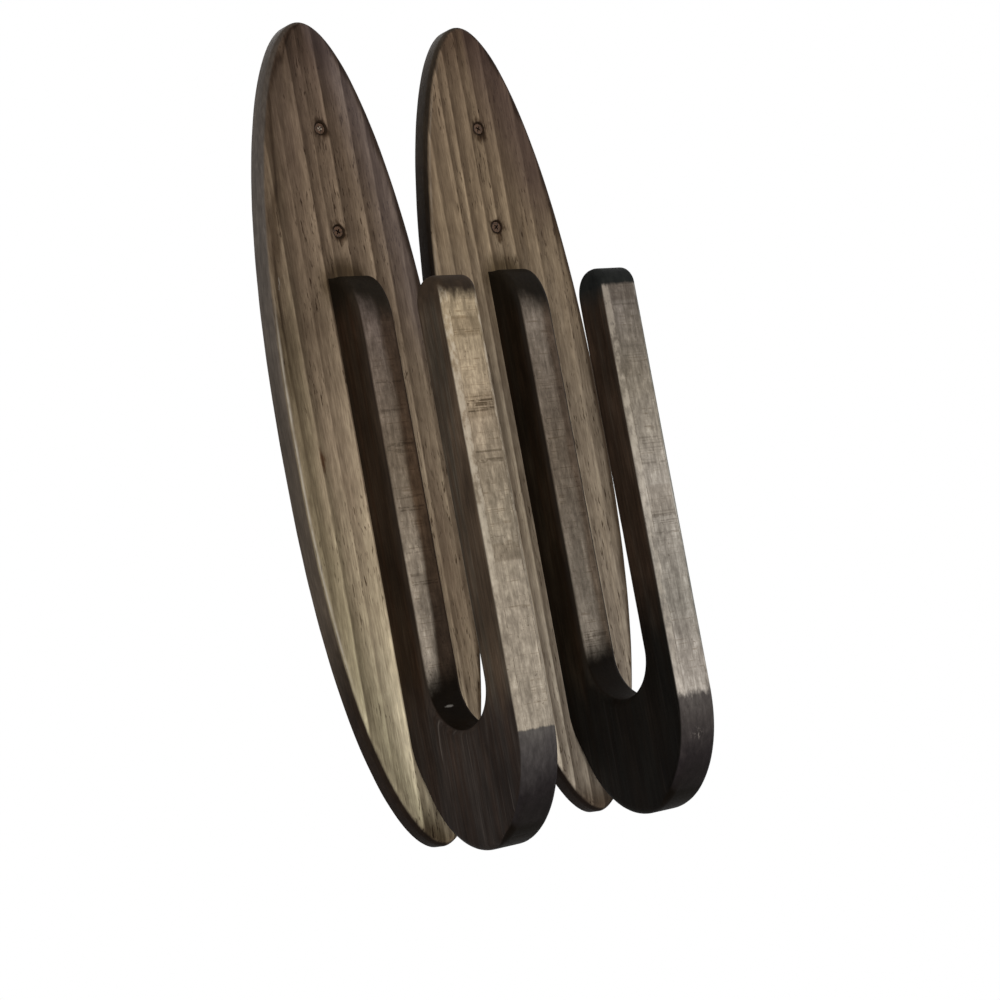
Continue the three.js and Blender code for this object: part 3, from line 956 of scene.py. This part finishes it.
def saw_marked(f, sawn):
    """Marks that the saw left square to the plank, in clusters on the flat of its narrow faces."""
    flat = f.step(f.size(f.face_x), *FLAT_TURN)
    lines = f.step(f.noise(0.14, 0.0019, 8, 1), 0.04, 0.14)
    worn_away = f.step(f.noise(0.0065, 0.003, 12, 2), -0.16, 0.02)
    in_slot = f.step(f.noise(0.08, 0.02, 14, 1), 0.02, 0.14, 0.0, 0.6)
    placed = f.mix(f.facing_out, in_slot, saw_zones(f, f["saw_marks"], 0.5))
    marks = f.times(lines, worn_away, placed, flat)
    blocks = f.times(saw_zones(f, f["saw_blocks"], 0.75), f.facing_out, flat)
    sawn = f.tinted(sawn, SAW_BLOCK_TINT, f.times(blocks, 0.7))
    faint = f.step(f.noise(0.05, 0.0018, 10, 2, 0.6), 0.04, 0.16)
    faint = f.times(faint, flat, f.step(f.mottle, -0.08, 0.12, 0.0, 0.7))
    sawn = f.tinted(sawn, FAINT_SAW_TINT, faint)
    sawn = f.tinted(sawn, SAW_MARK_TINT, f.times(marks, 0.8))
    specks = f.step(f.noise(0.0018, 0.0024, 16, 2, 0.6), 0.1, 0.18)
    speck_place = f.step(f.noise(0.01, 0.03, 18, 2), 0.02, 0.14)
    return f.tinted(sawn, SPECK_TINT, f.times(specks, speck_place, 0.6)), marks


def rubbed_edges(f, sawn, bend):
    """Rounded edges of the outer face, rubbed paler, with a crease where they begin."""
    patchy = f.sum(f.coarse, (f.mottle, 1.2))
    wavy = f.sum(bend, (f.times(patchy, f.step(f.size(f.face_x), 0.02, 0.12)), 0.3))
    start = f.rise(f.z, f["rubbed_from"], RUBBED_SOFTNESS)
    rubbed = f.times(f.step(wavy, *RUBBED_TURN), f.facing_out,
                     f.step(f.sum(patchy, (f.blotch, 1.0)), -0.14, 0.14), f["rubbed"], start)
    sawn = f.mix(rubbed, sawn, RUBBED_WOOD)
    cool = f.times(f.step(f.face_x, *COOL_TURN), f.step(f.blotch, -0.12, 0.1), f.facing_out)
    sawn = f.tinted(sawn, COOL_TINT, f.times(cool, f["cool_edge"]))
    crease = f.times(f.near(wavy, *CREASE_TURN), f.facing_out, f.step(f.mottle, -0.1, 0.1))
    return f.tinted(sawn, CREASE_TINT, crease)


def charred_end(f, sawn):
    """Charred end of the outer leg, with pale flecks on the right one, and an underside both charred and
    darkened with painted shade.
    """
    limit = f["front_char_height"]
    soft = f["front_char_soft"]
    height = f.sum(f.share(f.z, CRADLE_BOTTOM, limit), (f.blotch, 0.4), (f.mottle, 0.15))
    char_tone = f.sum(f.mottle, (f.streak, 0.8), (f.coarse, 0.8))
    char = f.contrasted(f.look_ramp(height, "front_char"), char_tone, CHAR_CONTRAST)
    ragged = f.sum(f.z, (f.sum(f.mottle, (f.coarse, 0.7)), soft * 3))
    burn = f.times(f.rise(ragged, limit, -soft), f.step(f.depth, *CHARRED_LEG_ZONE))
    if f.side == "right":
        patch = f.mark(*FLECK_PATCH, (f.mottle, 1.0))
        near_line = f.step(f.z, limit - FLECK_BAND, limit, 0.0, 0.22)
        flecks = f.step(f.noise(0.0022, 0.006, 27, 3, 0.7), 0.0, 0.16)
        char = f.mix(f.times(f.most(patch, near_line), flecks, 0.55), char, FLECK)
    narrow = f.mix(burn, sawn, char)
    # Char and painted shade on the downward faces at the cradle's bottom
    under = f.times(f.step(f.face_z, *UNDERSIDE_TURN), f.step(f.z, *UNDERSIDE_ZONE))
    char_and_shade_wood = f.contrasted(UNDERSIDE_CHAR_AND_SHADE, f.sum(f.blotch, (f.mottle, 1.0)), CHAR_CONTRAST)
    return f.mix(under, narrow, char_and_shade_wood)


def darkened_slot(f, narrow):
    """Darker at the bottom of the slot, with a painted highlight on the floor of the left one."""
    in_slot = f.times(f.step(f.depth, *INNER_SLOT_ZONE), f.step(f.depth, *OUTER_SLOT_ZONE))
    limit = f["slot_char_height"]
    ragged = f.sum(f.z, (f.blotch, 0.02), (f.coarse, 0.008), (f.across, f["soot_lean"]))
    slot_dark = f.times(f.rise(ragged, limit, -SLOT_DARK_SOFTNESS), in_slot)
    slot_dark_wood = f.contrasted(SLOT_FLOOR_DARK, f.sum(f.mottle, (f.blotch, 1.0)), CHAR_CONTRAST)
    narrow = f.mix(slot_dark, narrow, slot_dark_wood)
    if f.side == "left":
        # Painted highlight on the curved floor of the left slot
        slot_highlight = f.mark(*SLOT_HIGHLIGHT, (f.coarse, 1.5))
        narrow = f.mix(f.times(slot_highlight, in_slot, 0.42), narrow, SLOT_HIGHLIGHT_COLOUR)
    return narrow


def torched_sides(f):
    """Sides of the plank, darkest at the lower end and with pale streaks there."""
    wood = f.mix(f.outer, srgb(*f["inner_side"]), srgb(*f["outer_side"]))
    low = f.step(f.sum(f.z, (f.blotch, 0.05), (f.outer, -f["low_shift"])), *LOW_SIDE_ZONE)
    wood = f.mix(low, wood, srgb(*f["low_side"]))
    hue = f.step(f.sum(f.stripe, (f.streak, 0.5)), -0.12, 0.12)
    wood = f.tinted(wood, f.mix(hue, WARM_STREAK_TINT, COLD_STREAK_TINT))
    low_front = f.times(f.step(f.depth, *LOW_FRONT_DEPTH_ZONE), f.step(f.z, *LOW_FRONT_HEIGHT_ZONE))
    wood = f.tinted(wood, LOW_FRONT_TINT, low_front)
    tone = f.sum(f.times(f.streak, 1.3), (f.fibre, 0.8), (f.stripe, 0.5), (f.blotch, 1.3))
    wood = f.contrasted(wood, tone, CRADLE_SIDE_CONTRAST)
    pale = f.times(f.step(f.noise(0.0026, 0.11, 20, 2), 0.08, 0.24), low)
    wood = f.mix(f.times(pale, f["pale_streaks"]), wood, PALE_STREAK)
    if f.side == "left":
        lean = f.most(f.less(f.z, SCRATCH_LEAN_START), 0.0)
        scratch = f.near(f.depth, f.sum(SCRATCH_DEPTH, (lean, SCRATCH_LEAN)), SCRATCH_HALF_WIDTH)
        scratch = f.times(scratch, f.step(f.size(f.less(f.z, SCRATCH_MIDDLE)), *SCRATCH_ENDS),
                          f.step(f.face_x, *SCRATCH_STRENGTH))
        wood = f.mix(scratch, wood, SCRATCH_LINE)
    return wood


def charred_tops(f, wood, side_on):
    """Charred tops of the outer leg, over its side too, and of the inner leg."""
    end_wood = f.contrasted(srgb(*f["top_grey"]), f.sum(f.blotch, (f.mottle, 1.2)), OUTER_TOP_CONTRAST)
    side_edge = f.sum(f.below_top, (f.blotch, 0.03), (f.stripe, 0.01))
    wood = f.mix(f.times(f.step(side_edge, *TOP_SIDE_ZONE), f.outer, side_on), wood, end_wood)
    soft = f["top_soft"]
    edge = f.sum(f.below_top, (f.coarse, soft * 0.6), (f.mottle, 0.002 + soft), (f.blotch, soft * 1.6))
    wood = f.mix(f.times(f.rise(edge, f["top_char"], -soft), f.outer), wood, end_wood)
    edge = f.sum(f.below_top, (f.blotch, 0.02), (f.coarse, 0.006), (f.across, f["tongue_lean"]))
    burn = f.times(f.step(edge, *INNER_TOP_ZONE), f.less(1.0, f.outer))
    char = f.contrasted(INNER_TOP_CHAR, f.sum(f.streak, (f.blotch, 1.0)), INNER_TOP_CONTRAST)
    return f.mix(burn, wood, char)


def cradle_finish(side, centre):
    """Plank torched on its sides and ends, sawn on its narrow faces."""
    f = CradleWood(side, centre)
    bend = f.sum(f.size(f.face_x), (f.sum(f.streak, (f.mottle, 0.5)), 0.08))
    sawn, marks = saw_marked(f, sawn_faces(f))
    narrow = darkened_slot(f, charred_end(f, rubbed_edges(f, sawn, bend)))
    turn_start = f.sum(0.42, (f.outer, 0.4))
    side_on = f.step(f.less(bend, turn_start), f.sum(-0.2, (f.outer, 0.2)), 0.12)
    wood = charred_tops(f, f.mix(side_on, narrow, torched_sides(f)), side_on)
    relief = f.sum(f.times(f.fibre, 0.5), (marks, -0.8), (f.mottle, 0.4))
    return f.finished(wood, CRADLE_ROUGHNESS, relief)


def steel_finish():
    """Brown-coated steel, dulled by stain, with a glint on the left rack's upper screw."""
    f = Finish("screw_steel")
    grime = f.noise(0.0016, 0.0016, 4, 3, 0.6)
    scratch = f.noise(0.0003, 0.004, 6, 2, 0.6)
    coat = f.mix(f.step(grime, -0.05, 0.2), STEEL_COAT, STEEL_GRIME)
    coat = f.mix(f.step(f.size(f.face_y), *SCREW_HEAD_TURN), STEEL_SHADE, coat)
    spot = screw_place("left_wall_screw_1")
    glint = f.step(f.distance((spot.x, spot.z), GLINT_REACH), *GLINT_EDGE)
    coat = f.mix(f.times(glint, f.step(f.y, *GLINT_ZONE)), coat, STEEL_GLINT)
    f.set("Base Color", f.scaled(coat, f.step(scratch, -0.2, 0.2, 0.85, 1.15)))
    f.set("Metallic", STEEL_METALLIC)
    f.set("Roughness", f.step(grime, -0.2, 0.2, *STEEL_ROUGHNESS))
    f.bump(scratch, STEEL_RELIEF, STEEL_BUMP)
    return f.material


def dress(piece, nodes, material):
    """Gives a piece its material and its place in the frame."""
    piece.data.materials.clear()
    piece.data.materials.append(material)
    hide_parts(*nodes)
    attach(piece, "root")


def nodes_named(start):
    return [name for name in sorted(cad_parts) if name.startswith(start)]


def make_rack(side, steel):
    looks = looks_of(side)
    seed = looks["seed"]
    turns = looks["screw_turns"]
    low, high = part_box(f"{side}_backboard")
    centre = (low.x + high.x) / 2
    wall_screws = nodes_named(f"{side}_wall_screw")
    cradle_screws = nodes_named(f"{side}_cradle_screw")

    rings = edge_rings(BOARD_THICKNESS, BOARD_BACK_ROUND, BOARD_FRONT_ROUND)
    build = slab(board_outline(), rings, BOARD_THICKNESS, lambda a, b, h: (centre + a, -h, b), seed)
    board = finish_mesh(f"{side}_backboard_fine", build)
    for node in wall_screws:
        cut(board, hole_cutter(node, WALL_SHANK, WALL_SCREW_SINK, BOARD_THICKNESS + OVERRUN))
    for node in cradle_screws:
        cut(board, hole_cutter(node, CRADLE_SHANK, CRADLE_SCREW_SINK, BOARD_THICKNESS + OVERRUN))
    finish = board_finish(side, centre, [screw_place(node) for node in wall_screws])
    dress(board, [f"{side}_backboard"], finish)

    rings = edge_rings(PLANK_THICKNESS, CRADLE_ROUND, CRADLE_ROUND)
    left_side = centre - PLANK_THICKNESS / 2
    build = slab(
        cradle_outline(), rings, PLANK_THICKNESS, lambda a, b, h: (left_side + h, -a, b), seed + 1,
        lambda point: min(1, (point[0] - SEAT) / CRADLE_ROUND))
    cradle = finish_mesh(f"{side}_cradle_fine", build)
    for node in cradle_screws:
        length = screw_place(node).length + CRADLE_SCREW_SINK + CLEARANCE
        cut(cradle, hole_cutter(node, CRADLE_SHANK, CRADLE_SCREW_SINK, length))
    dress(cradle, [f"{side}_cradle"], cradle_finish(side, centre))

    for node, turn in zip(wall_screws, turns):
        dress(screw(node, WALL_SHANK, turn), [node], steel)
    for i, node in enumerate(cradle_screws):
        dress(screw(node, CRADLE_SHANK, turns[0] * (i + 1)), [node], steel)


def set_camera():
    data = bpy.data.cameras.new("camera")
    data.lens = CAMERA_LENS
    data.sensor_width = CAMERA_SENSOR
    camera = new_object("camera", data)
    back = Vector((
        -math.sin(CAMERA_AZIMUTH) * math.cos(CAMERA_ELEVATION),
        -math.cos(CAMERA_AZIMUTH) * math.cos(CAMERA_ELEVATION),
        math.sin(CAMERA_ELEVATION),
    ))
    right = (-back).cross(Vector((0, 0, 1))).normalized()
    up = back.cross(right)
    rolled_right = right * math.cos(CAMERA_ROLL) + up * math.sin(CAMERA_ROLL)
    rolled_up = up * math.cos(CAMERA_ROLL) - right * math.sin(CAMERA_ROLL)
    rotation = Matrix((rolled_right, rolled_up, back)).transposed().to_4x4()
    camera.matrix_world = Matrix.Translation(CAMERA_TARGET + back * CAMERA_DISTANCE) @ rotation
    bpy.context.scene.camera = camera


def area_light(name, place, size, power, colour):
    data = bpy.data.lights.new(name, "AREA")
    data.shape = "DISK"
    data.size = size
    data.energy = power
    data.color = colour
    lamp = new_object(name, data)
    lamp.location = place
    lamp.rotation_euler = (LAMP_AIM - Vector(place)).to_track_quat("-Z", "Y").to_euler()


def set_stage():
    """Pale floor under the racks, which fades into a white surround."""
    build = bmesh.new()
    bmesh.ops.create_circle(build, cap_ends=True, segments=FLOOR_SIDES, radius=FLOOR_RADIUS)
    floor = finish_mesh("floor", build)
    floor.location = (0, 0, FLOOR_HEIGHT)
    f = Finish("floor")
    f.set("Base Color", FLOOR_COLOUR)
    f.set("Roughness", FLOOR_ROUGHNESS)
    nodes = f.material.node_tree
    clear = f.node("ShaderNodeBsdfTransparent")
    distance = f.node("ShaderNodeVectorMath", f.point, operation="LENGTH").outputs["Value"]
    fade = f.step(distance, *FLOOR_FADE)
    blend = f.node("ShaderNodeMixShader", fade, f.surface.outputs[0], clear.outputs[0])
    nodes.links.new(blend.outputs[0], nodes.nodes["Material Output"].inputs["Surface"])
    floor.data.materials.append(f.material)


def set_world():
    """White to the camera and in reflections, and a soft even light on the object."""
    world = bpy.data.worlds.new("surround")
    bpy.context.scene.world = world
    world.use_nodes = True
    nodes = world.node_tree.nodes
    links = world.node_tree.links
    background = nodes["Background"]
    background.inputs["Color"].default_value = SURROUND_COLOUR
    path = nodes.new("ShaderNodeLightPath")
    seen = path.outputs["Is Camera Ray"]
    for name in ("Is Glossy Ray", "Is Transmission Ray"):
        either = nodes.new("ShaderNodeMath")
        either.operation = "MAXIMUM"
        links.new(seen, either.inputs[0])
        links.new(path.outputs[name], either.inputs[1])
        seen = either.outputs[0]
    strength = nodes.new("ShaderNodeMapRange")
    strength.inputs["To Min"].default_value = AMBIENT
    links.new(seen, strength.inputs["Value"])
    links.new(strength.outputs[0], background.inputs["Strength"])


screw_steel = steel_finish()
for rack_side in SIDES:
    make_rack(rack_side, screw_steel)
set_camera()
set_stage()
set_world()
for lamp in LAMPS:
    area_light(*lamp)

bpy.context.scene.view_settings.view_transform = "Standard"
